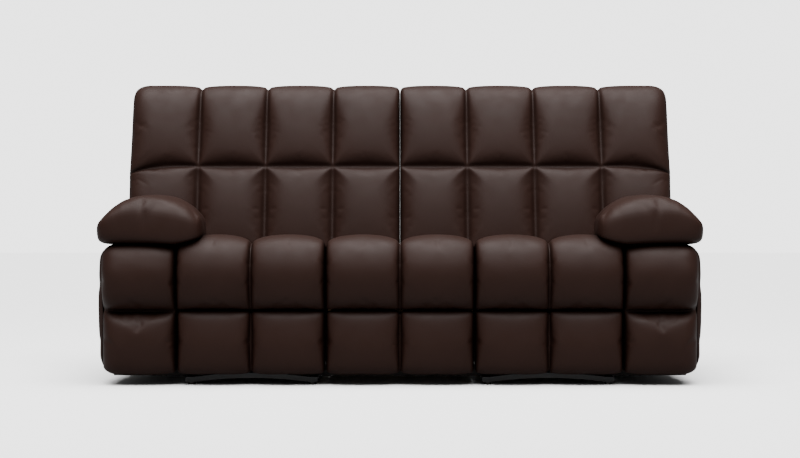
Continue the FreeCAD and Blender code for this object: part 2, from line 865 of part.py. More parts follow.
def mechanism_base():
    """The steel base: side rails, arched front bar, rear bar, posts and slide tracks."""
    rails = both_sides(
        lambda x0, x1: block(x0, x1, base_rear, base_front, glide_height, rail_top),
        base_half_width - base_rail_width, base_half_width,
    )
    x0 = seat_centre_x - base_half_width
    x1 = seat_centre_x + base_half_width
    rear_bar = block(x0, x1, base_rear, base_rear + base_bar, glide_height, rail_top)
    y = datum_y - base_front
    inner0 = x0 + base_rail_width
    inner1 = x1 - base_rail_width
    low0 = V(inner0, y, glide_height)
    low1 = V(inner1, y, glide_height)
    high0 = V(inner0, y, rail_top)
    high1 = V(inner1, y, rail_top)
    arch = [
        Part.Arc(low0, V(seat_centre_x, y, glide_height + arch_rise), low1).toShape(),
        Part.LineSegment(low1, high1).toShape(),
        Part.Arc(high1, V(seat_centre_x, y, rail_top + arch_rise), high0).toShape(),
        Part.LineSegment(high0, low0).toShape(),
    ]
    front_bar = Part.Face(Part.Wire(arch)).extrude(V(0, base_bar, 0))

    lip_low = slide_z - slide_height / 2 - slide_clearance
    lip_high = slide_z + slide_height / 2 + slide_clearance

    def track(x0, x1):
        outward = 1.0 if x0 > seat_centre_x else -1.0
        web = block(x0, x1, track_rear, track_front, lip_low - track_lip * 2, lip_high + track_lip * 2)
        posts = []
        for rear in (track_rear, track_front - post_width):
            posts.append(block(x0, x1, rear, rear + post_width, rail_top, lip_low))
        lip_reach = upright_inner - carriage_outer - layer_gap / 2
        lip_x0 = x0 - lip_reach if outward > 0 else x1
        lips = []
        for z in (lip_low - track_lip, lip_high):
            lips.append(block(lip_x0, lip_x0 + lip_reach, track_rear, track_front, z, z + track_lip))
        return fuse([web] + posts + lips)

    tracks = both_sides(track, upright_inner, upright_outer)
    return [fuse(rails + [rear_bar, front_bar] + tracks)]


def glides():
    """The round feet under a mechanism base."""
    feet = []
    across = base_half_width - base_rail_width / 2 - glide_inset
    for x in (seat_centre_x - across, seat_centre_x + across):
        for forward in (base_front - base_bar / 2 - glide_setback, base_rear + base_bar / 2 + glide_setback):
            foot = place(x, forward, 0.0)
            feet.append(long_rod(foot, foot + V(0, 0, glide_height), glide_radius, tube_sides))
    return feet


# Back


def back_cushion():
    """Four tufted columns in two rows; the outer one stands over the arm."""
    seams = [column_pitch, column_pitch * 2, column_pitch * 3]
    columns = [
        end_column(back_profile, seams[0], back_inner_x),
        column(back_profile, seams[0], seams[1]),
        column(back_profile, seams[1], seams[2]),
        end_column(wing_profile, seams[2], back_outer_x),
    ]
    return fuse(columns)


def back_frame():
    """Hardwood rails in the grooves of the rear panel."""
    rails = [back_block(*limits) for limits in back_rail_limits(0.0)]
    return fuse(rails)


def back_rail_limits(grow):
    """The limits of each rail, grown for the grooves that take them."""
    front = frame_front - grow
    rear = frame_front + frame_thickness + grow
    left = back_inner_x + back_rail_margin
    right = back_outer_x - back_rail_drop
    top = panel_top - back_rail_drop
    wing_low = wing_foot + back_rail_drop
    foot = panel_foot + back_foot_clear
    post0 = seat_centre_x - link_a_inner
    post1 = seat_centre_x + link_a_inner
    lines = [
        (left, right, top - frame_rail, top),
        (left, right, wing_low, wing_low + frame_rail),
        (left, left + frame_rail, wing_low, top),
        (right - frame_rail, right, wing_low, top),
        (post0, post0 + frame_rail, foot, top),
        (post1 - frame_rail, post1, foot, top),
    ]
    return [(x0 - grow, x1 + grow, front, rear, low - grow, high + grow) for x0, x1, low, high in lines]


def rear_panel():
    """The padded rear of the back, grooved for the frame and slotted for the brackets."""
    corners = [
        (back_inner_x, panel_foot),
        (arm_inner_x - arm_frame_gap, panel_foot),
        (arm_inner_x - arm_frame_gap, wing_foot),
        (back_outer_x - arm_lid_gap, wing_foot),
        (back_outer_x - arm_lid_gap, panel_top),
        (back_inner_x, panel_top),
    ]
    points = [back_place(x, frame_front, height) for x, height in corners]
    face = Part.Face(Part.makePolygon(points + [points[0]]))
    depth = back_place(0, panel_depth, 0) - back_place(0, frame_front, 0)
    body = face.extrude(depth)
    rear_plane = back_place(0, panel_depth, 0)
    normal = depth.normalize()
    rim = []
    for edge in body.Edges:
        ends = [vertex.Point for vertex in edge.Vertexes]
        if all(abs((end - rear_plane).dot(normal)) < plane_tolerance for end in ends):
            rim.append(edge)
    body = body.makeFillet(panel_fillet, rim)
    for limits in back_rail_limits(rest_gap):
        body = body.cut(back_block(*limits))
    front = frame_front - overcut
    rear = frame_front + frame_thickness + overcut
    foot = panel_foot - overcut
    for x0, x1 in bracket_sides():
        body = body.cut(back_block(x0 - overcut, x1 + overcut, front, rear, foot, bracket_top + overcut))
        body = body.cut(back_block(x0 - sheet, x1 + sheet * 2, front, rear, foot, panel_foot + back_foot_clear))
    return body


def bracket_sides():
    """The two places of the back brackets across the seat."""
    right = (seat_centre_x + link_a_inner, seat_centre_x + link_a_outer)
    left = (seat_centre_x - link_a_outer, seat_centre_x - link_a_inner)
    return (right, left)


def back_brackets():
    """The arms that hang the back on the carriage's rear pivots."""
    plates = []
    for x0, x1 in bracket_sides():
        front_low = back_pair(frame_front, panel_foot + bracket_low)
        front_high = back_pair(frame_front, bracket_top)
        rear_high = back_pair(frame_front + frame_thickness, bracket_top)
        rear_low = back_pair(frame_front + frame_thickness, panel_foot + back_rail_drop)
        pivot = back_pivot
        eye = back_pivot_eye
        steps = [
            (front_high,),
            (rear_high,),
            (rear_low,),
            ((pivot[0] - eye, pivot[1]),),
            ((pivot[0], pivot[1] - eye), (pivot[0] + eye, pivot[1])),
        ]
        plate = slab(outline(x0, front_low, steps), x1 - x0)
        plates.append(plate.cut(bore(x0 - overcut, x1 + overcut, pivot, pivot_radius)))
    return plates


def back_pair(depth, height):
    """A side-profile pair of a point in the back's plane."""
    point = back_place(0, depth, height)
    return (datum_y - point.y, point.z)


def back_straps():
    """Webbing across the back frame, under the cushion."""
    left = back_inner_x + back_rail_margin
    right = back_outer_x - back_rail_drop
    low = wing_foot + back_rail_drop
    top = panel_top - back_rail_drop - strap_width
    pitch = (top - low) / (back_strap_count - 1)
    heights = [low + pitch * index for index in range(back_strap_count)]
    front = frame_front - back_strap_thickness
    return [back_block(left, right, front, frame_front, height, height + strap_width) for height in heights]


# Centre seat and the rails that tie the sofa together


def centre_frame():
    """The wooden box of the fixed centre seat."""
    half = seat_width / 2 - arm_frame_gap
    top = deck_bottom + deck_thickness
    front = board_front
    rear = arm_rear + arm_board
    rear_top = centre_rear_top
    corners = [
        (front, frame_bottom),
        (front, top),
        (seat_rear, top),
        (seat_rear, rear_top),
        (rear, rear_top),
        (rear, frame_bottom),
    ]
    sides = [slab(polygon(-half, corners), arm_board), slab(polygon(half - arm_board, corners), arm_board)]
    front_board = block(-half, half, front - board_thickness, front, frame_bottom, top)
    rear_board = block(-half, half, seat_rear, seat_rear + arm_board, rear_top, top)
    return [fuse(sides + [front_board, rear_board])]


def cross_rail(forward):
    """A rail across the whole sofa, on the mechanism bases and under the arms."""
    return block(-arm_outer_x, arm_outer_x, forward - cross_rail_depth, forward, rail_top, frame_bottom)


def rear_board():
    """The low board that closes the rear of the body."""
    half = arm_inner_x + rear_board_lap
    return block(-half, half, arm_rear, arm_rear + arm_board, frame_bottom, rear_board_top)


def build():
    """Makes every node."""
    os.makedirs("parts", exist_ok=True)
    inner = arm_inner_x - seat_width + soft_gap
    outer = arm_inner_x - soft_gap
    middle = (inner + outer) / 2

    save_pair("seat_cushion", [seat_cushion(inner, outer)])
    save_pair("seat_frame", [seat_frame()])
    strap_half = carriage_outer - seat_strap_inset
    straps = strap_row(seat_centre_x - strap_half, seat_centre_x + strap_half, deck_front)
    save_pair("seat_webbing", straps)
    save_pair("carriage_plates", carriage())
    pads = [column(pad_profile, inner, middle), column(pad_profile, middle, outer)]
    save_pair("footrest_pad", [fuse(pads)])
    save_pair("footrest_board", footrest_board())
    save_pair("footrest_link_a1", first_a_link())
    save_pair("footrest_drive_tube", [drive_tube()])
    for stage in (2, 3):
        pins = [upper_joint(stage - 1), crossing(stage), lower_joint(stage)]
        save_pair("footrest_link_a%d" % stage, link_with_pins(pins[0], pins[2], pins))
    for stage in (1, 2, 3):
        holes = [lower_joint(stage - 1), crossing(stage), upper_joint(stage)]
        save_pair("footrest_link_b%d" % stage, link_with_holes(holes[0], holes[2], holes))
    holes = [lower_joint(3), along(upper_joint(3), 1.0, 0.5)]
    save_pair("footrest_end_link", link_with_holes(holes[0], holes[1], holes))
    save_pair("mechanism_base", mechanism_base())
    feet = glides()
    save("base_glides", feet + [foot.mirror(V(0, 0, 0), V(1, 0, 0)) for foot in feet])

    save_pair("back_cushion", [back_cushion()])
    save_pair("back_rear_panel", [rear_panel()])
    save_pair("back_frame", [back_frame()])
    save_pair("back_webbing", back_straps())
    save_pair("back_brackets", back_brackets())

    save_pair("arm_pad", [arm_pad()])
    save_pair("arm_front_panel", [end_column(arm_front_profile, arm_inner_x + soft_gap, arm_front_end_x)])
    save_pair("arm_side_panel", [side_panel()])
    save_pair("arm_frame", [arm_frame()])
    save_pair("handle_bezel", [handle_bezel()])
    save_pair("release_handle", [release_handle()])

    half = seat_width / 2 - soft_gap
    save("centre_seat_cushion", [fuse([column(seat_profile, -half, 0.0), column(seat_profile, 0.0, half)])])
    save("centre_front_panel", [fuse([column(pad_profile, -half, 0.0), column(pad_profile, 0.0, half)])])
    save("centre_frame", centre_frame())
    centre_strap_half = seat_width / 2 - centre_strap_inset
    save("centre_webbing", strap_row(-centre_strap_half, centre_strap_half, board_front))
    save("cross_rails", [cross_rail(front_rail_forward), cross_rail(base_rear + cross_rail_depth)])
    save("rear_board", [rear_board()])


build()
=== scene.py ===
"""The looks of a tufted leather reclining sofa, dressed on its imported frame."""
import json
import logging
import math
from dataclasses import dataclass, field
from enum import Enum
from typing import Callable, Iterable, Optional, Sequence

import bmesh
import bpy
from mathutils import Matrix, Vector


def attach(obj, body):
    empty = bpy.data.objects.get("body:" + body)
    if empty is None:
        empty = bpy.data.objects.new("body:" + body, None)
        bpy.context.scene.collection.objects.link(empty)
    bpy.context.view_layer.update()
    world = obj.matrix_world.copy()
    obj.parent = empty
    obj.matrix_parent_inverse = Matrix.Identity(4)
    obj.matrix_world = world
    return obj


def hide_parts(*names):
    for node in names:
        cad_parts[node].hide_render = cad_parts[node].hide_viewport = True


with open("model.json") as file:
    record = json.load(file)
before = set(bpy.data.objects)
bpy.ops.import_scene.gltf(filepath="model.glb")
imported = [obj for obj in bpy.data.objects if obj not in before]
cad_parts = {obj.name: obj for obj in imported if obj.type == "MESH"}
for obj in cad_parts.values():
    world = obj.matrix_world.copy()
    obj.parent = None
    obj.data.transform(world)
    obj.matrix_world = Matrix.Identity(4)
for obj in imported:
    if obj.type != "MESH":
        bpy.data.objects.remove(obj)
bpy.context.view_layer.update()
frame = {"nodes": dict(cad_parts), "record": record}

log = logging.getLogger("sofa")

# The side profile's datum and the tilted plane of the back, in metres as in the frame
DATUM = 0.0341
WAIST_FORWARD = -0.166
WAIST_Z = 0.780
TILT = math.radians(15.0)
PITCH = 0.255
SOFT_GAP = 0.0015
ON_SEAM = 1e-6
# Painted shade in the leather: how far the ambient-occlusion mask reaches, its range, how much it darkens the
# colour in creases and the specular left there.
CREASE_REACH = 0.035
CREASE_RANGE = (0.3, 0.9)
CREASE_SHADE = (0.12, 1.0)
CREASE_SHADED_SPECULAR = 0.02
SEAT_X = 2 * PITCH
ARM_INNER = 3 * PITCH

Pair = tuple[float, float]
Triple = tuple[float, float, float]
Tree = bpy.types.NodeTree
Socket = bpy.types.NodeSocket
Vert = bmesh.types.BMVert


class Side(Enum):
    """Which side of the sofa a piece is on, seen by the viewer."""

    RIGHT = "right"
    LEFT = "left"


def place(x: float, forward: float, up: float) -> Vector:
    """A point from its side-profile pair.

    Args:
        x: Its place across.
        forward: Its place in front of the datum.
        up: Its height.

    Returns:
        The point in the shared frame.
    """
    return Vector((x, DATUM - forward, up))


def back_place(x: float, depth: float, height: float) -> Vector:
    """A point in the tilted plane of the back.

    Args:
        x: Its place across.
        depth: How far it lies behind the plane.
        height: Its height along the plane, from the waist.

    Returns:
        The point in the shared frame.
    """
    forward = WAIST_FORWARD - height * math.sin(TILT) - depth * math.cos(TILT)
    up = WAIST_Z + height * math.cos(TILT) - depth * math.sin(TILT)
    return place(x, forward, up)


def lerp(a: float, b: float, share: float) -> float:
    """The value between a and b.

    Args:
        a: The value at 0.
        b: The value at 1.
        share: How far from a to b.

    Returns:
        The value.
    """
    return a + (b - a) * share


def read_table(table: Sequence[Pair], x: float) -> float:
    """Reads a table of (x, value) pairs by straight lines, flat beyond its ends.

    Args:
        table: The pairs, by rising x.
        x: Where to read.

    Returns:
        The value there.
    """
    if x <= table[0][0]:
        return table[0][1]
    for (x0, y0), (x1, y1) in zip(table, table[1:]):
        if x <= x1:
            return lerp(y0, y1, (x - x0) / (x1 - x0))
    return table[-1][1]


def dome(t: float, flat: float = 2.6, round_: float = 1.8) -> float:
    """A pillow's height between two seams, from 0 at t = 0 and 1 to 1 in the middle.

    Args:
        t: The place between the seams.
        flat: How flat the middle is.
        round_: How full the sides are.

    Returns:
        The height.
    """
    return max(0.0, 1.0 - abs(2.0 * t - 1.0) ** flat) ** (1.0 / round_)


def ease(distance: float, width: float) -> float:
    """A quarter round: 0 on a seam and 1 beyond width from it.

    Args:
        distance: The distance from the seam.
        width: The width of the round.

    Returns:
        The height.
    """
    if distance >= width:
        return 1.0
    return math.sqrt(max(0.0, 1.0 - (1.0 - distance / width) ** 2))


# Finishes


def new_material(name: str) -> tuple[bpy.types.Material, Tree, bpy.types.Node]:
    """An empty procedural material.

    Args:
        name: The material's name.

    Returns:
        The material, its node tree and its principled shader.
    """
    material = bpy.data.materials.new(name)
    material.use_nodes = True
    tree = material.node_tree
    shader = tree.nodes["Principled BSDF"]
    return material, tree, shader


def object_coordinates(tree: Tree, scale: Triple = (1.0, 1.0, 1.0)) -> Socket:
    """Object coordinates, scaled.

    Args:
        tree: The node tree.
        scale: Scale along each axis.

    Returns:
        The vector socket.
    """
    source = tree.nodes.new("ShaderNodeTexCoord")
    mapping = tree.nodes.new("ShaderNodeMapping")
    mapping.inputs["Scale"].default_value = scale
    tree.links.new(source.outputs["Object"], mapping.inputs["Vector"])
    return mapping.outputs["Vector"]


def noise_node(tree: Tree, vector: Socket, scale: float, detail: float = 2.0) -> Socket:
    """A noise texture's factor.

    Args:
        tree: The node tree.
        vector: Its coordinates.
        scale: Its scale.
        detail: Its detail.

    Returns:
        The factor.
    """
    node = tree.nodes.new("ShaderNodeTexNoise")
    node.inputs["Scale"].default_value = scale
    node.inputs["Detail"].default_value = detail
    tree.links.new(vector, node.inputs["Vector"])
    return node.outputs["Fac"]


def ramp(tree: Tree, value: Socket, low: Pair, high: Pair) -> Socket:
    """Maps a value from the range low to the range high.

    Args:
        tree: The node tree.
        value: The value.
        low: The range it comes from.
        high: The range it goes to.

    Returns:
        The mapped value.
    """
    node = tree.nodes.new("ShaderNodeMapRange")
    node.inputs["From Min"].default_value, node.inputs["From Max"].default_value = low
    node.inputs["To Min"].default_value, node.inputs["To Max"].default_value = high
    tree.links.new(value, node.inputs["Value"])
    return node.outputs["Result"]


def bump(tree: Tree, height: Socket, distance: float, strength: float) -> Socket:
    """A bump's normal from a height.

    Args:
        tree: The node tree.
        height: The height.
        distance: The height in metres of a full step.
        strength: How strong it is.

    Returns:
        The normal.
    """
    node = tree.nodes.new("ShaderNodeBump")
    node.inputs["Distance"].default_value = distance
    node.inputs["Strength"].default_value = strength
    tree.links.new(height, node.inputs["Height"])
    return node.outputs["Normal"]


def blend_colours(tree: Tree, share: Socket, first: Triple, second: Triple) -> Socket:
    """A colour between two, by a share.

    Args:
        tree: The node tree.
        share: The share of the second.
        first: The first colour.
        second: The second colour.

    Returns:
        The colour.
    """
    node = tree.nodes.new("ShaderNodeMix")
    node.data_type = "RGBA"
    node.inputs["A"].default_value = (*first, 1.0)
    node.inputs["B"].default_value = (*second, 1.0)
    tree.links.new(share, node.inputs["Factor"])
    return node.outputs["Result"]


@dataclass(frozen=True)
class Leather:
    """A smooth, semi-matte leather with a fine grain, and painted shade in its creases."""

    name: str
    deep: Triple
    light: Triple
    roughness: float = 0.5
    specular: float = 0.28

    def material(self) -> bpy.types.Material:
        """The finish as a material.

        Returns:
            The material.
        """
        material, tree, shader = new_material(self.name)
        vector = object_coordinates(tree)
        cloud = noise_node(tree, vector, 7.0, 3.0)
        colour = blend_colours(tree, cloud, self.deep, self.light)
        # Painted shade: an ambient-occlusion mask darkens the leather's colour and dims its specular in
        # creases and seams.
        crease = tree.nodes.new("ShaderNodeAmbientOcclusion")
        crease.samples = 6
        crease.inputs["Distance"].default_value = CREASE_REACH
        shade = ramp(tree, crease.outputs["AO"], CREASE_RANGE, CREASE_SHADE)
        crease_shaded_colour = tree.nodes.new("ShaderNodeVectorMath")
        crease_shaded_colour.operation = "SCALE"
        tree.links.new(colour, crease_shaded_colour.inputs["Vector"])
        tree.links.new(shade, crease_shaded_colour.inputs["Scale"])
        tree.links.new(crease_shaded_colour.outputs["Vector"], shader.inputs["Base Color"])
        crease_shaded_specular = ramp(tree, shade, CREASE_SHADE, (CREASE_SHADED_SPECULAR, self.specular))
        tree.links.new(crease_shaded_specular, shader.inputs["Specular IOR Level"])
        cells = tree.nodes.new("ShaderNodeTexVoronoi")
        cells.inputs["Scale"].default_value = 520.0
        tree.links.new(vector, cells.inputs["Vector"])
        pores = noise_node(tree, vector, 230.0, 4.0)
        grain = tree.nodes.new("ShaderNodeMath")
        grain.operation = "MULTIPLY_ADD"
        grain.inputs[1].default_value = 0.6
        tree.links.new(cells.outputs["Distance"], grain.inputs[0])
        tree.links.new(pores, grain.inputs[2])
        tree.links.new(bump(tree, grain.outputs["Value"], 0.0006, 0.25), shader.inputs["Normal"])
        patch = noise_node(tree, vector, 18.0, 3.0)
        rough = ramp(tree, patch, (0.3, 0.7), (self.roughness - 0.05, self.roughness + 0.06))
        tree.links.new(rough, shader.inputs["Roughness"])
        return material


@dataclass(frozen=True)
class Painted:
    """Powder-coated steel or a moulding."""

    name: str
    colour: Triple
    roughness: float
    metallic: float = 0.0
    grain: float = 400.0

    def material(self) -> bpy.types.Material:
        """The finish as a material.

        Returns:
            The material.
        """
        material, tree, shader = new_material(self.name)
        vector = object_coordinates(tree)
        speck = noise_node(tree, vector, self.grain, 3.0)
        brighter = tuple(min(1.0, part * 1.35 + 0.002) for part in self.colour)
        tree.links.new(blend_colours(tree, speck, self.colour, brighter), shader.inputs["Base Color"])
        tree.links.new(bump(tree, speck, 0.0004, 0.2), shader.inputs["Normal"])
        rough = ramp(tree, speck, (0.3, 0.7), (self.roughness - 0.06, self.roughness + 0.08))
        tree.links.new(rough, shader.inputs["Roughness"])
        shader.inputs["Metallic"].default_value = self.metallic
        return material


@dataclass(frozen=True)
class Timber:
    """Sawn wood with its grain along one axis."""

    name: str
    pale: Triple
    dark: Triple
    stretch: Triple

    def material(self) -> bpy.types.Material:
        """The finish as a material.

        Returns:
            The material.
        """
        material, tree, shader = new_material(self.name)
        vector = object_coordinates(tree, self.stretch)
        rings = noise_node(tree, vector, 9.0, 6.0)
        share = ramp(tree, rings, (0.35, 0.65), (0.0, 1.0))
        tree.links.new(blend_colours(tree, share, self.pale, self.dark), shader.inputs["Base Color"])
        tree.links.new(bump(tree, rings, 0.0015, 0.3), shader.inputs["Normal"])
        shader.inputs["Roughness"].default_value = 0.75
        return material


@dataclass(frozen=True)
class Webbing:
    """Woven elastic straps."""

    name: str
    colour: Triple
    thread: Triple

    def material(self) -> bpy.types.Material:
        """The finish as a material.

        Returns:
            The material.
        """
        material, tree, shader = new_material(self.name)
        vector = object_coordinates(tree)
        waves = []
        for direction in ("X", "Z"):
            wave = tree.nodes.new("ShaderNodeTexWave")
            wave.bands_direction = direction
            wave.inputs["Scale"].default_value = 160.0
            wave.inputs["Distortion"].default_value = 0.6
            tree.links.new(vector, wave.inputs["Vector"])
            waves.append(wave.outputs["Fac"])
        weave = tree.nodes.new("ShaderNodeMath")
        weave.operation = "MULTIPLY"
        tree.links.new(waves[0], weave.inputs[0])
        tree.links.new(waves[1], weave.inputs[1])
        colour = blend_colours(tree, weave.outputs["Value"], self.colour, self.thread)
        tree.links.new(colour, shader.inputs["Base Color"])
        tree.links.new(bump(tree, weave.outputs["Value"], 0.0008, 0.5), shader.inputs["Normal"])
        shader.inputs["Roughness"].default_value = 0.9
        return material


LEATHER = Leather("leather", (0.0145, 0.0059, 0.0041), (0.0182, 0.0076, 0.0054), 0.52, 0.11)
REAR_LEATHER = Leather("rear_leather", (0.0145, 0.006, 0.0042), (0.018, 0.0077, 0.0055), 0.56, 0.11)
BLACK_STEEL = Painted("black_steel", (0.006, 0.006, 0.0065), 0.42, 0.2)
PLASTIC = Painted("plastic", (0.012, 0.009, 0.008), 0.5, 0.0, 900.0)
TIMBER = Timber("timber", (0.42, 0.27, 0.14), (0.27, 0.155, 0.07), (1.0, 4.0, 4.0))
STAINED = Timber("stained_timber", (0.012, 0.008, 0.006), (0.007, 0.005, 0.004), (1.0, 4.0, 4.0))
WEBBING = Webbing("webbing", (0.13, 0.11, 0.085), (0.3, 0.26, 0.2))


# Mesh helpers


def make_object(name: str, bm: bmesh.types.BMesh) -> bpy.types.Object:
    """A smooth-shaded object at the origin from a finished mesh.

    Args:
        name: The object's name.
        bm: Its mesh, which is freed.

    Returns:
        The new object.
    """
    bmesh.ops.recalc_face_normals(bm, faces=bm.faces)
    for face in bm.faces:
        face.smooth = True
    mesh = bpy.data.meshes.new(name)
    bm.to_mesh(mesh)
    bm.free()
    made = bpy.data.objects.new(name, mesh)
    bpy.context.scene.collection.objects.link(made)
    return made


def mirrored(source: bpy.types.Object, name: str) -> bpy.types.Object:
    """The mirror image of a piece across the middle of the sofa.

    Args:
        source: The piece.
        name: The new piece's name.

    Returns:
        The new piece.
    """
    bm = bmesh.new()
    bm.from_mesh(source.data)
    bmesh.ops.scale(bm, vec=(-1.0, 1.0, 1.0), verts=bm.verts)
    bmesh.ops.reverse_faces(bm, faces=bm.faces)
    return make_object(name, bm)


def both_sides(right: bpy.types.Object, soft: bool = True) -> tuple[tuple[Side, bpy.types.Object], ...]:
    """A right piece and its mirror image on the left.

    Args:
        right: The right piece.
        soft: Whether the mirror image is subdivided like a swollen piece.

    Returns:
        Each side with its piece.
    """
    left = mirrored(right, right.name.replace(Side.RIGHT.value, Side.LEFT.value, 1))
    if soft:
        smooth_finish(left)
    return (Side.RIGHT, right), (Side.LEFT, left)


def grid(bm: bmesh.types.BMesh, across: int, along: int) -> list[list[Vert]]:
    """A grid of vertices, to be put in place.

    Args:
        bm: The mesh it is made in.
        across: Faces across.
        along: Faces along.

    Returns:
        Rows of vertices: result[i][j] with i across and j along.
    """
    made = bmesh.ops.create_grid(bm, x_segments=across, y_segments=along, size=1.0)
    table: list[list[Optional[Vert]]] = [[None] * (along + 1) for _ in range(across + 1)]
    for vert in made["verts"]:
        i = round((vert.co.x + 1.0) / 2.0 * across)
        j = round((vert.co.y + 1.0) / 2.0 * along)
        table[i][j] = vert
    return table


def set_pins(target: bpy.types.Object, pins: Iterable[int]) -> None:
    """Marks the vertices that the seams hold.

    Args:
        target: The piece.
        pins: Indices of its pinned vertices.
    """
    group = target.vertex_groups.new(name="pins")
    group.add(list(pins), 1.0, "REPLACE")


@dataclass(frozen=True)
class Filling:
    """How a cover swells over its filling."""

    pressure: float = 4.0
    slack: float = 0.015
    cap: float = 0.024
    frames: int = 20
    bending: float = 0.6
    quality: int = 6
    mass: float = 0.35
    stretch: float = 18.0
    shear: float = 6.0
    damping: float = 12.0
    drag: float = 6.0

    def swell(self, target: bpy.types.Object) -> None:
        """Blows a cover up between its pinned seams and keeps the result.

        Args:
            target: The piece, with its vertex group of pins.
        """
        cloth = target.modifiers.new("swell", "CLOTH")
        settings = cloth.settings
        settings.quality = self.quality
        settings.mass = self.mass
        settings.tension_stiffness = self.stretch
        settings.compression_stiffness = self.stretch
        settings.shear_stiffness = self.shear
        settings.bending_stiffness = self.bending
        settings.tension_damping = self.damping
        settings.compression_damping = self.damping
        settings.air_damping = self.drag
        settings.use_pressure = True
        settings.uniform_pressure_force = self.pressure
        settings.shrink_min = -self.slack
        settings.vertex_group_mass = "pins"
        settings.pin_stiffness = 1.0
        settings.effector_weights.gravity = 0.0
        cloth.collision_settings.use_collision = False
        cloth.point_cache.frame_start = 1
        cloth.point_cache.frame_end = self.frames
        scene = bpy.context.scene
        for number in range(1, self.frames + 1):
            scene.frame_set(number)
        graph = bpy.context.evaluated_depsgraph_get()
        swollen = target.evaluated_get(graph).data
        for vert, moved in zip(target.data.vertices, swollen.vertices):
            step = moved.co - vert.co
            if step.length > self.cap:
                step *= self.cap / step.length
            vert.co += step
        target.modifiers.remove(cloth)
        scene.frame_set(1)
        target.data.update()


def smooth_finish(target: bpy.types.Object, levels: int = 1) -> None:
    """One subdivision over a swollen piece.

    Args:
        target: The piece.
        levels: Its levels, in view and render alike.
    """
    fine = target.modifiers.new("fine", "SUBSURF")
    fine.levels = levels
    fine.render_levels = levels


def dress(
    target: bpy.types.Object, material: bpy.types.Material, body: str, slot: str, *nodes: str
) -> bpy.types.Object:
    """Gives a piece its finish and its body, and hides the CAD nodes it stands for.

    Args:
        target: The piece.
        material: Its finish.
        body: The body it rides on.
        slot: The record's material slot; not used.
        nodes: The CAD nodes it replaces.

    Returns:
        The same piece.
    """
    target.data.materials.clear()
    target.data.materials.append(material)
    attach(target, body)
    if nodes:
        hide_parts(*nodes)
    log.info("%s: %d vertices on %s", target.name, len(target.data.vertices), body)
    return target


class Track:
    """A smooth open line through a side profile's points, read by its length."""

    def __init__(self, points: Sequence[Triple], steps: int = 16) -> None:
        """Lays the line.

        Args:
            points: (first, second, crown) of each point; crown is a tuft's height there.
            steps: Pieces between two points.
        """
        self.dense: list[Triple] = []
        for index in range(len(points) - 1):
            before = points[max(0, index - 1)]
            here, after = points[index], points[index + 1]
            beyond = points[min(len(points) - 1, index + 2)]
            for step in range(steps):
                self.dense.append(self.between(before, here, after, beyond, step / steps))
        self.dense.append(points[-1])
        self.lengths = [0.0]
        for (a, b, _), (c, d, _) in zip(self.dense, self.dense[1:]):
            self.lengths.append(self.lengths[-1] + math.hypot(c - a, d - b))
        self.marks = [self.lengths[index * steps] for index in range(len(points))]
        self.total = self.lengths[-1]

    @staticmethod
    def between(p0: Triple, p1: Triple, p2: Triple, p3: Triple, share: float) -> Triple:
        """A point of the curve from p1 to p2, with p0 and p3 beside them.

        Args:
            p0: The point before.
            p1: The start.
            p2: The end.
            p3: The point after.
            share: How far from p1 to p2.

        Returns:
            The point.
        """
        values = []
        for a, b, c, d in zip(p0, p1, p2, p3):
            slope_b = (c - a) * 0.5
            slope_c = (d - b) * 0.5
            cube, square = share ** 3, share ** 2
            values.append(
                (2 * cube - 3 * square + 1) * b + (cube - 2 * square + share) * slope_b
                + (3 * square - 2 * cube) * c + (cube - square) * slope_c
            )
        return (values[0], values[1], values[2])

    def at(self, length: float) -> tuple[Pair, Pair, float]:
        """Reads the line.

        Args:
            length: The distance from its start.

        Returns:
            The point, the direction of the line there and the crown.
        """
        low, high = 0, len(self.lengths) - 1
        while high - low > 1:
            middle = (low + high) // 2
            if self.lengths[middle] <= length:
                low = middle
            else:
                high = middle
        span = self.lengths[high] - self.lengths[low]
        share = min(1.0, max(0.0, (length - self.lengths[low]) / span)) if span else 0.0
        a, b = self.dense[low], self.dense[high]
        run = math.hypot(b[0] - a[0], b[1] - a[1]) or 1.0
        point = (lerp(a[0], b[0], share), lerp(a[1], b[1], share))
        return point, ((b[0] - a[0]) / run, (b[1] - a[1]) / run), lerp(a[2], b[2], share)


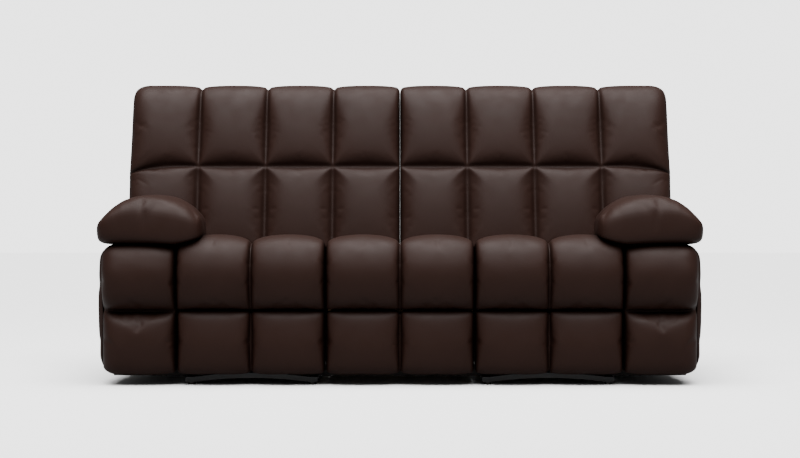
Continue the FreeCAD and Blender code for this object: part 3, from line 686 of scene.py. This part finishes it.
@dataclass
class TuftedForm:
    """A tufted piece: columns between upright seams, rows along a side profile, and a plain inside."""

    name: str
    seams: Sequence[float]
    track: Sequence[Triple]
    inside: Sequence[Pair]
    sewn: Sequence[int]
    put: Callable[[float, float, float], Vector]
    cell: float = 0.0075
    row_fall: float = 0.05
    free_end: bool = False
    end_draw: float = 0.04
    stitch: float = 0.008
    filling: Filling = field(default_factory=Filling)
    warp: Optional[Callable[[float, Pair], Pair]] = None

    def build(self) -> bpy.types.Object:
        """Makes the piece, swollen and smooth.

        Returns:
            The finished object.
        """
        line = Track(self.track)
        sewn_at = [line.marks[index] for index in self.sewn]
        stations = self.stations(line)
        columns = len(self.seams) - 1
        per_column = max(8, round((self.seams[1] - self.seams[0]) / self.cell))
        around = len(stations) + len(self.inside)
        bm = bmesh.new()
        table = grid(bm, columns * per_column, around)
        pins: set[Vert] = set()
        for i, row in enumerate(table):
            column = min(i // per_column, columns - 1)
            t = i / per_column - column
            x = lerp(self.seams[column], self.seams[column + 1], t)
            swell, drawn = self.across(column, columns, t)
            for j, vert in enumerate(row):
                index = j % around
                if index < len(stations):
                    length = stations[index]
                    point, along, crown = line.at(length)
                    fall = min(ease(abs(length - mark), self.row_fall) for mark in sewn_at)
                    held = swell < ON_SEAM or fall < ON_SEAM
                    rise = -self.stitch if held else crown * swell * fall
                    first = point[0] - along[1] * (rise - drawn)
                    second = point[1] + along[0] * (rise - drawn)
                else:
                    first, second = self.inside[index - len(stations)]
                    held = True
                if self.warp:
                    first, second = self.warp(x, (first, second))
                vert.co = self.put(x, first, second)
                if held or i in (0, len(table) - 1):
                    pins.add(vert)
        doubles = {row[-1]: row[0] for row in table}
        bmesh.ops.weld_verts(bm, targetmap=doubles)
        pins = {vert for vert in pins if vert.is_valid}
        self.close_ends(bm, pins)
        bm.verts.index_update()
        numbers = [vert.index for vert in pins]
        made = make_object(self.name, bm)
        set_pins(made, numbers)
        self.filling.swell(made)
        smooth_finish(made)
        return made

    def stations(self, line: Track) -> list[float]:
        """Distances along the track with one on every sewn row.

        Args:
            line: The track.

        Returns:
            The distances.
        """
        marks = sorted({line.marks[index] for index in self.sewn} | {0.0, line.total})
        found: list[float] = []
        for low, high in zip(marks, marks[1:]):
            count = max(4, round((high - low) / self.cell))
            found += [lerp(low, high, step / count) for step in range(count)]
        return found + [line.total]

    def across(self, column: int, columns: int, t: float) -> Pair:
        """The tuft's height and how far the skin is drawn in, across one column.

        Args:
            column: The number of the column.
            columns: How many there are.
            t: The place across it.

        Returns:
            The height, from 0 to 1, and the draw in metres.
        """
        if not self.free_end or column < columns - 1 or t < 0.5:
            return dome(t), 0.0
        share = (t - 0.5) * 2.0
        round_ = 1.0 - math.sqrt(max(0.0, 1.0 - max(0.0, (share - 0.45) / 0.55) ** 2.4))
        return max(0.02, 1.0 - round_), self.end_draw * round_

    def close_ends(self, bm: bmesh.types.BMesh, pins: set[Vert]) -> None:
        """Fills both ends of the piece and pins them.

        Args:
            bm: The piece's mesh.
            pins: The pinned vertices, which it adds to.
        """
        edges = [edge for edge in bm.edges if edge.is_boundary]
        filled = bmesh.ops.holes_fill(bm, edges=edges, sides=0)
        faces = [face for face in filled["faces"] if face.is_valid]
        inner = bmesh.ops.inset_individual(bm, faces=faces, thickness=0.006, depth=0.0)
        poked = bmesh.ops.poke(bm, faces=faces)
        for face in inner["faces"] + poked["faces"]:
            if face.is_valid:
                pins.update(face.verts)


@dataclass
class ArmPillow:
    """The pillow on an arm: a dome over the arm and a band below its seam."""

    name: str
    outline: Sequence[Triple] = (
        (0.660, 0.512, 0.516), (0.667, 0.512, 0.559), (0.686, 0.511, 0.586), (0.723, 0.506, 0.612),
        (0.760, 0.505, 0.628), (0.797, 0.508, 0.638), (0.853, 0.521, 0.645), (0.908, 0.528, 0.641),
        (0.946, 0.533, 0.630), (0.983, 0.535, 0.607), (1.015, 0.533, 0.576), (1.050, 0.531, 0.535),
    )
    rear: float = -0.042
    front: float = 0.498
    foot: float = 0.4812
    cell: float = 0.008
    inner_taper: float = 0.050
    seam_draw: float = 0.006
    seam_power: int = 60
    corner_power: int = 7
    side_share: float = 0.02
    band_power: int = 12
    lip: float = 0.006
    filling: Filling = field(default_factory=lambda: Filling(pressure=3.0, slack=0.02, cap=0.016))

    def build(self) -> bpy.types.Object:
        """Makes the pillow, swollen between its seam and its foot.

        Returns:
            The pillow.
        """
        bm = bmesh.new()
        x_low, x_high = self.outline[0][0], self.outline[-1][0]
        across = round((x_high - x_low) / self.cell)
        along = round((self.front - self.rear) / self.cell)
        pins: set[Vert] = set()
        rims = []
        for upper in (True, False):
            table = grid(bm, across, along)
            for i, row in enumerate(table):
                u = i / across * 2.0 - 1.0
                for j, vert in enumerate(row):
                    v = j / along * 2.0 - 1.0
                    edge = max(abs(u), abs(v))
                    spread = edge / self.corner(u, v) if edge else 1.0
                    draw = self.seam_draw * edge ** self.seam_power
                    share_x, share_y = (u * spread + 1.0) / 2.0, (v * spread + 1.0) / 2.0
                    x = lerp(x_low, x_high, share_x)
                    height = self.height(x, u, v, upper)
                    inner = x_low + draw + self.inner_taper * (1.0 - share_y)
                    forward = lerp(self.rear + draw, self.front - draw, share_y)
                    vert.co = place(lerp(inner, x_high - draw, share_x), forward, height)
                    if edge > 1.0 - ON_SEAM or not upper:
                        pins.add(vert)
            rims.append({self.key(vert): vert for row in table for vert in row if vert.is_boundary})
        doubles = {vert: rims[0][key] for key, vert in rims[1].items()}
        bmesh.ops.weld_verts(bm, targetmap=doubles)
        pins = {vert for vert in pins if vert.is_valid}
        bm.verts.index_update()
        numbers = [vert.index for vert in pins]
        made = make_object(self.name, bm)
        set_pins(made, numbers)
        self.filling.swell(made)
        smooth_finish(made)
        return made

    def corner(self, u: float, v: float) -> float:
        """How far a point of the square lies from the middle, measured with rounded corners.

        Args:
            u: Its place across, from -1 to 1.
            v: Its place along, from -1 to 1.

        Returns:
            The distance.
        """
        return (abs(u) ** self.corner_power + abs(v) ** self.corner_power) ** (1.0 / self.corner_power)

    def height(self, x: float, u: float, v: float, upper: bool) -> float:
        """The height of the dome or of the band's underside.

        Args:
            x: The place across the arm.
            u: The same from -1 to 1.
            v: The place along the arm from -1 to 1.
            upper: Whether it is the dome.

        Returns:
            The height.
        """
        seam = read_table([(a, b) for a, b, _ in self.outline], x)
        top = read_table([(a, c) for a, _, c in self.outline], x)
        front_fall = dome((v + 1.0) / 2.0, 9.0, 2.2)
        if upper:
            side = min(1.0, (1.0 - abs(u)) / self.side_share)
            return seam + (top - seam) * front_fall * math.sqrt(side)
        inward = max(0.0, (ARM_INNER - x) / (ARM_INNER - self.outline[0][0]))
        foot = lerp(self.foot, seam - self.lip, inward)
        edge = max(abs(u), abs(v))
        return seam - (seam - foot) * max(0.0, 1.0 - edge ** self.band_power) ** 0.5

    @staticmethod
    def key(vert: Vert) -> tuple[int, int]:
        """A vertex's place in plan.

        Args:
            vert: The vertex.

        Returns:
            Its place in hundredths of a millimetre.
        """
        return round(vert.co.x * 1e5), round(vert.co.y * 1e5)


# Sub-assemblies


@dataclass
class Seats:
    """The three seat cushions with their front rolls."""

    track: Sequence[Triple] = (
        (-0.054, 0.412, 0.010), (-0.046, 0.432, 0.012), (-0.026, 0.441, 0.014), (0.160, 0.462, 0.017),
        (0.330, 0.481, 0.018), (0.400, 0.487, 0.020), (0.440, 0.470, 0.028), (0.461, 0.430, 0.033),
        (0.470, 0.375, 0.035), (0.461, 0.302, 0.030), (0.441, 0.2565, 0.014),
    )
    inside: Sequence[Pair] = (
        (0.431, 0.2565), (0.415, 0.292), (0.397, 0.3286), (0.25, 0.3286), (0.1, 0.3286), (-0.054, 0.3286),
        (-0.054, 0.37),
    )

    def build(self, leather: bpy.types.Material) -> None:
        """Makes and dresses the cushions.

        Args:
            leather: Their finish.
        """
        half = 2 * PITCH / 2 - SOFT_GAP
        centre = self.form("centre_seat", (-half, 0.0, half)).build()
        dress(centre, leather, "root", "leather", "centre_seat_cushion")
        right = self.form("right_seat_leather", (SEAT_X - half, SEAT_X, SEAT_X + half)).build()
        for side, piece in both_sides(right):
            dress(piece, leather, f"{side.value}_seat", "leather", f"{side.value}_seat_cushion")

    def form(self, name: str, seams: Sequence[float]) -> TuftedForm:
        """One cushion's form.

        Args:
            name: Its name.
            seams: Its upright seams.

        Returns:
            The form.
        """
        return TuftedForm(name, seams, self.track, self.inside, (0, len(self.track) - 1), place)


@dataclass
class LowerFronts:
    """The lower row: both footrest pads and the centre front panel."""

    track: Sequence[Triple] = (
        (0.393, 0.226, 0.0), (0.398, 0.236, 0.004), (0.415, 0.2465, 0.008), (0.432, 0.2485, 0.018),
        (0.436, 0.225, 0.034),
        (0.438, 0.1485, 0.041), (0.436, 0.075, 0.034), (0.430, 0.050, 0.020), (0.420, 0.0445, 0.006),
        (0.404, 0.0432, 0.0),
    )
    inside: Sequence[Pair] = ((0.393, 0.0432), (0.393, 0.1), (0.393, 0.17))

    def build(self, leather: bpy.types.Material) -> None:
        """Makes and dresses the row.

        Args:
            leather: Its finish.
        """
        half = 2 * PITCH / 2 - SOFT_GAP
        centre = self.form("centre_front", (-half, 0.0, half)).build()
        dress(centre, leather, "root", "leather", "centre_front_panel")
        right = self.form("right_footrest_leather", (SEAT_X - half, SEAT_X, SEAT_X + half)).build()
        for side, piece in both_sides(right):
            dress(piece, leather, f"{side.value}_footrest", "leather", f"{side.value}_footrest_pad")

    def form(self, name: str, seams: Sequence[float]) -> TuftedForm:
        """One pad's form.

        Args:
            name: Its name.
            seams: Its upright seams.

        Returns:
            The form.
        """
        sewn = (0, len(self.track) - 1)
        return TuftedForm(name, seams, self.track, self.inside, sewn, place, row_fall=0.03)


@dataclass
class ArmFronts:
    """The arms' tufted fronts, in two rows."""

    outer_x: float = 1.0225
    row_seam: int = 7
    track: Sequence[Triple] = (
        (0.394, 0.4775, 0.0), (0.430, 0.474, 0.012), (0.455, 0.452, 0.024), (0.466, 0.420, 0.030),
        (0.470, 0.375, 0.034), (0.462, 0.305, 0.028), (0.440, 0.262, 0.012), (0.436, 0.254, 0.0),
        (0.437, 0.244, 0.016), (0.437, 0.215, 0.036),
        (0.438, 0.1485, 0.041), (0.436, 0.075, 0.034), (0.430, 0.050, 0.020), (0.420, 0.0445, 0.006),
        (0.404, 0.0432, 0.0),
    )
    inside: Sequence[Pair] = ((0.3935, 0.0432), (0.3935, 0.15), (0.3935, 0.25), (0.3935, 0.37))

    def build(self, leather: bpy.types.Material) -> None:
        """Makes and dresses both fronts.

        Args:
            leather: Their finish.
        """
        seams = (ARM_INNER + SOFT_GAP, self.outer_x)
        form = TuftedForm(
            "right_arm_front", seams, self.track, self.inside, (0, self.row_seam, len(self.track) - 1), place,
            row_fall=0.035, free_end=True,
        )
        for side, piece in both_sides(form.build()):
            dress(piece, leather, "root", "leather", f"{side.value}_arm_front_panel")


@dataclass
class ArmSides:
    """The arms' padded outer sides, with the handle's pocket, and the cover on each arm's rear."""

    rear: float = -0.297
    front: float = 0.397
    foot: float = 0.0435
    top: float = 0.4775
    slope_from: float = -0.040
    slope_to: float = 0.326
    skin: float = 0.9966
    swell: float = 0.045
    edge_round: float = 0.05
    pocket: tuple[float, float, float, float] = (0.0907, 0.2093, 0.3637, 0.4363)
    pocket_swell: float = 0.0272
    cell: float = 0.012
    wrap_inner: float = 0.7705
    wrap_thickness: float = 0.003
    wrap_inset: float = 0.0065
    wrap_turn_rise: float = 0.006
    wrap_end_gap: float = 0.003
    wrap_end_rise: float = 0.002
    wrap_steps: int = 8
    filling: Filling = field(default_factory=lambda: Filling(pressure=2.0, slack=0.012, cap=0.007))

    def build(self, leather: bpy.types.Material) -> None:
        """Makes and dresses both sides.

        Args:
            leather: Their finish.
        """
        covers = both_sides(self.side())
        wraps = both_sides(self.wrap(), soft=False)
        for (side, piece), (_, wrap) in zip(covers, wraps):
            dress(piece, leather, "root", "rear_leather", f"{side.value}_arm_side_panel")
            dress(wrap, leather, "root", "rear_leather")

    def ceiling(self, forward: float) -> float:
        """The height of the side's top edge.

        Args:
            forward: The place along the arm.

        Returns:
            The height.
        """
        return read_table(((self.rear, self.slope_to), (self.slope_from, self.top)), forward)

    def stations(self, low: float, high: float, marks: Sequence[float]) -> list[float]:
        """Even steps from low to high with one on each mark.

        Args:
            low: The start.
            high: The end.
            marks: The marks between them.

        Returns:
            The steps.
        """
        found: list[float] = []
        stops = [low, *marks, high]
        for a, b in zip(stops, stops[1:]):
            count = max(2, round((b - a) / self.cell))
            found += [lerp(a, b, step / count) for step in range(count)]
        return found + [high]

    def bulge(self, forward: float, up: float) -> float:
        """How far the cover stands out from the arm's board.

        Args:
            forward: The place along the arm.
            up: The height.

        Returns:
            The distance.
        """
        edge = min(forward - self.rear, self.front - forward, up - self.foot, self.ceiling(forward) - up)
        full = self.swell * (0.86 + 0.14 * dome(min(1.0, max(0.0, (up - 0.15) / 0.33))))
        rear_low, front_low, low, high = self.pocket
        away = max(rear_low - forward, forward - front_low, low - up, up - high)
        rise = full * ease(max(0.0, edge), self.edge_round)
        if away < self.edge_round:
            rise = min(rise, lerp(self.pocket_swell, full, ease(max(0.0, away), self.edge_round)))
        return rise

    def side(self) -> bpy.types.Object:
        """The right side's padded cover.

        Returns:
            The cover.
        """
        rear_low, front_low, low, high = self.pocket
        lengths = self.stations(self.rear, self.front, (rear_low, front_low))
        heights = self.stations(self.foot, self.top, (low, high))
        shares = [(up - self.foot) / (self.top - self.foot) for up in heights]
        bm = bmesh.new()
        sheets = []
        for outer in (True, False):
            table = grid(bm, len(lengths) - 1, len(shares) - 1)
            for forward, row in zip(lengths, table):
                for share, vert in zip(shares, row):
                    up = lerp(self.foot, self.ceiling(forward), share)
                    vert.co = place(self.skin + (self.bulge(forward, up) if outer else 0.0), forward, up)
            sheets.append(table)
        outer_rim = {ArmSides.key(vert): vert for row in sheets[0] for vert in row if vert.is_boundary}
        inner_rim = [vert for row in sheets[1] for vert in row if vert.is_boundary]
        bmesh.ops.weld_verts(bm, targetmap={vert: outer_rim[ArmSides.key(vert)] for vert in inner_rim})
        gone = [face for face in bm.faces if self.in_pocket(face.calc_center_median())]
        bmesh.ops.delete(bm, geom=gone, context="FACES")
        rim = [edge for edge in bm.edges if edge.is_boundary]
        bmesh.ops.bridge_loops(bm, edges=rim)
        pins = [vert for vert in bm.verts if self.held(vert)]
        bm.verts.index_update()
        numbers = [vert.index for vert in pins]
        made = make_object("right_arm_side", bm)
        set_pins(made, numbers)
        self.filling.swell(made)
        smooth_finish(made)
        return made

    @staticmethod
    def key(vert: Vert) -> tuple[int, int]:
        """A vertex's place in the side view.

        Args:
            vert: The vertex.

        Returns:
            Its place in hundredths of a millimetre.
        """
        return round(vert.co.y * 1e5), round(vert.co.z * 1e5)

    def in_pocket(self, point: Vector) -> bool:
        """Whether a point lies within the handle's pocket.

        Args:
            point: The point.

        Returns:
            True when it does.
        """
        rear_low, front_low, low, high = self.pocket
        return rear_low < DATUM - point.y < front_low and low < point.z < high

    def held(self, vert: Vert) -> bool:
        """Whether a seam or the pocket's rim holds this vertex.

        Args:
            vert: The vertex.

        Returns:
            True when it does.
        """
        rear_low, front_low, low, high = self.pocket
        forward, up = DATUM - vert.co.y, vert.co.z
        away = max(rear_low - forward, forward - front_low, low - up, up - high)
        return vert.co.x < self.skin + 1e-4 or away < 1e-4

    def wrap(self) -> bpy.types.Object:
        """The right arm's cover on its rear and its sloped top.

        Returns:
            The cover.
        """
        rear = self.rear + self.wrap_inset
        foot = (rear, self.foot, 0.0)
        turn = (rear, self.slope_to + self.wrap_turn_rise, 0.0)
        end = (self.slope_from - self.wrap_end_gap, self.top + self.wrap_end_rise, 0.0)
        steps = self.wrap_steps
        line, slope = Track([foot, turn], steps), Track([turn, end], steps)
        points = [line.at(line.total * step / steps)[0] for step in range(steps)]
        points += [slope.at(slope.total * step / steps)[0] for step in range(steps + 1)]
        bm = bmesh.new()
        table = grid(bm, 4, len(points) - 1)
        for i, row in enumerate(table):
            x = lerp(self.wrap_inner, self.skin + 0.0005, i / 4)
            for (forward, up), vert in zip(points, row):
                vert.co = place(x, forward, up)
        bmesh.ops.recalc_face_normals(bm, faces=bm.faces)
        bmesh.ops.solidify(bm, geom=bm.faces[:], thickness=self.wrap_thickness)
        return make_object("right_arm_wrap", bm)


@dataclass
class Backs:
    """Both halves of the tufted back."""

    seams: Sequence[float] = (0.0001, 0.255, 0.510, 0.765, 1.030)
    waist: int = 5
    arm_drop: float = 0.29
    seat_drop: float = 0.352
    hang: float = 0.026
    hang_from: float = 0.83
    hang_width: float = 0.19
    hang_reach: float = 0.12
    track: Sequence[Triple] = (
        (0.030, -0.351, 0.0), (0.012, -0.345, 0.008), (0.006, -0.325, 0.020), (0.004, -0.170, 0.030),
        (-0.003, -0.055, 0.018),
        (-0.011, -0.010, 0.009), (-0.006, 0.035, 0.024), (0.000, 0.120, 0.033), (0.000, 0.235, 0.028),
        (0.010, 0.293, 0.017), (0.038, 0.318, 0.013), (0.070, 0.321, 0.012), (0.100, 0.309, 0.010),
        (0.122, 0.286, 0.0),
    )
    inside: Sequence[Pair] = (
        (0.1268, 0.270), (0.1268, 0.1), (0.1268, -0.05), (0.1268, -0.2), (0.1268, -0.34), (0.1, -0.351),
        (0.06, -0.351),
    )

    def build(self, leather: bpy.types.Material) -> None:
        """Makes and dresses both halves.

        Args:
            leather: Their finish.
        """
        form = TuftedForm(
            "right_back_leather", self.seams, self.track, self.inside,
            (0, self.waist, len(self.track) - 1), back_place,
            cell=0.0085, row_fall=0.022, free_end=True, end_draw=0.034, warp=self.warp,
            filling=Filling(slack=0.006, pressure=4.5),
        )
        for side, piece in both_sides(form.build()):
            dress(piece, leather, f"{side.value}_back", "leather", f"{side.value}_back_cushion")

    def warp(self, x: float, pair: Pair) -> Pair:
        """Shortens the outer column over the arm, and lets its upper tuft hang over the waist seam.

        Args:
            x: The place across.
            pair: Depth and height in the plane of the back.

        Returns:
            The new pair.
        """
        depth, height = pair
        if x > ARM_INNER and height < 0.0:
            height *= self.arm_drop / self.seat_drop
        outer = max(0.0, (x - self.hang_from) / self.hang_width)
        if height > -self.hang_reach:
            height -= self.hang * outer ** 2 * max(0.0, 1.0 - abs(height) / self.hang_reach)
        return depth, height


@dataclass
class Hardware:
    """Finishes of the CAD nodes that show as they are."""

    finishes: dict[str, bpy.types.Material]
    stained: Sequence[str] = (
        "cross_rails", "right_footrest_board", "left_footrest_board", "right_arm_frame", "left_arm_frame",
    )

    def build(self) -> None:
        """Paints every CAD node by its material slot."""
        slots = {part["node"]: part["material_slot"] for part in frame["record"]["subparts"]}
        for name, node in frame["nodes"].items():
            material = self.finishes[STAINED.name if name in self.stained else slots[name]]
            if not node.material_slots:
                node.data.materials.append(material)
            for slot in node.material_slots:
                slot.material = material
        log.info("painted %d nodes", len(slots))


@dataclass
class Studio:
    """The pale floor, the soft light and the camera."""

    camera_distance: float = 5.836
    camera_height: float = 0.535
    lens: float = 71.5
    backdrop: float = 3.1
    ambient: float = 0.2
    sky_power: float = 9.5
    sky_spread: float = 70.0
    sky_tilt: float = 19.0
    top_power: float = 90.0

    def build(self) -> None:
        """Sets the stage."""
        scene = bpy.context.scene
        bm = bmesh.new()
        bmesh.ops.create_grid(bm, x_segments=1, y_segments=1, size=30.0)
        floor = make_object("floor", bm)
        material, tree, shader = new_material("floor")
        vector = object_coordinates(tree)
        path = tree.nodes.new("ShaderNodeLightPath")
        paper = blend_colours(tree, noise_node(tree, vector, 3.0), (0.95, 0.95, 0.95), (0.97, 0.97, 0.97))
        seen = tree.nodes.new("ShaderNodeMix")
        seen.data_type = "RGBA"
        seen.inputs["A"].default_value = (0.25, 0.25, 0.25, 1.0)
        tree.links.new(path.outputs["Is Camera Ray"], seen.inputs["Factor"])
        tree.links.new(paper, seen.inputs["B"])
        tree.links.new(seen.outputs["Result"], shader.inputs["Base Color"])
        shader.inputs["Roughness"].default_value = 0.9
        floor.data.materials.append(material)
        scene.world = self.world()
        sun = bpy.data.lights.new("sky_light", "SUN")
        sun.energy = self.sky_power
        sun.angle = math.radians(self.sky_spread)
        sky = bpy.data.objects.new("sky_light", sun)
        sky.rotation_euler = (math.radians(self.sky_tilt), 0.0, 0.0)
        scene.collection.objects.link(sky)
        self.lamp("top", (0.0, -0.4, 3.4), (0.0, 0.0, 0.5), 3.0, self.top_power)
        data = bpy.data.cameras.new("camera")
        data.lens = self.lens
        camera = bpy.data.objects.new("camera", data)
        camera.location = (0.0, -self.camera_distance, self.camera_height)
        camera.rotation_euler = (math.radians(90.0), 0.0, 0.0)
        scene.collection.objects.link(camera)
        scene.camera = camera
        log.info("studio set")

    def world(self) -> bpy.types.World:
        """A white backdrop for the camera and a dimmer, even light for the rest.

        Returns:
            The world.
        """
        world = bpy.data.worlds.new("studio")
        world.use_nodes = True
        tree = world.node_tree
        background = tree.nodes["Background"]
        background.inputs["Color"].default_value = (1.0, 1.0, 1.0, 1.0)
        path = tree.nodes.new("ShaderNodeLightPath")
        strength = ramp(tree, path.outputs["Is Camera Ray"], (0.0, 1.0), (self.ambient, self.backdrop))
        tree.links.new(strength, background.inputs["Strength"])
        return world

    @staticmethod
    def lamp(name: str, position: Triple, aim: Triple, size: float, power: float) -> None:
        """A square soft light.

        Args:
            name: Its name.
            position: Where it hangs.
            aim: What it looks at.
            size: Its side in metres.
            power: Its power in watts.
        """
        data = bpy.data.lights.new(name, "AREA")
        data.size = size
        data.energy = power
        lamp = bpy.data.objects.new(name, data)
        lamp.location = position
        lamp.rotation_euler = (Vector(aim) - Vector(position)).to_track_quat("-Z", "Y").to_euler()
        bpy.context.scene.collection.objects.link(lamp)


def main() -> None:
    """Builds every piece in order."""
    logging.basicConfig(level=logging.INFO, format="%(name)s %(message)s")
    kinds = (LEATHER, REAR_LEATHER, BLACK_STEEL, PLASTIC, TIMBER, STAINED, WEBBING)
    finishes = {kind.name: kind.material() for kind in kinds}
    Hardware(finishes).build()
    leather = finishes["leather"]
    Seats().build(leather)
    LowerFronts().build(leather)
    ArmFronts().build(leather)
    ArmSides().build(finishes["rear_leather"])
    Backs().build(leather)
    for side, piece in both_sides(ArmPillow("right_arm_pillow").build()):
        dress(piece, leather, "root", "leather", f"{side.value}_arm_pad")
    Studio().build()


if __name__ == "__main__":
    main()
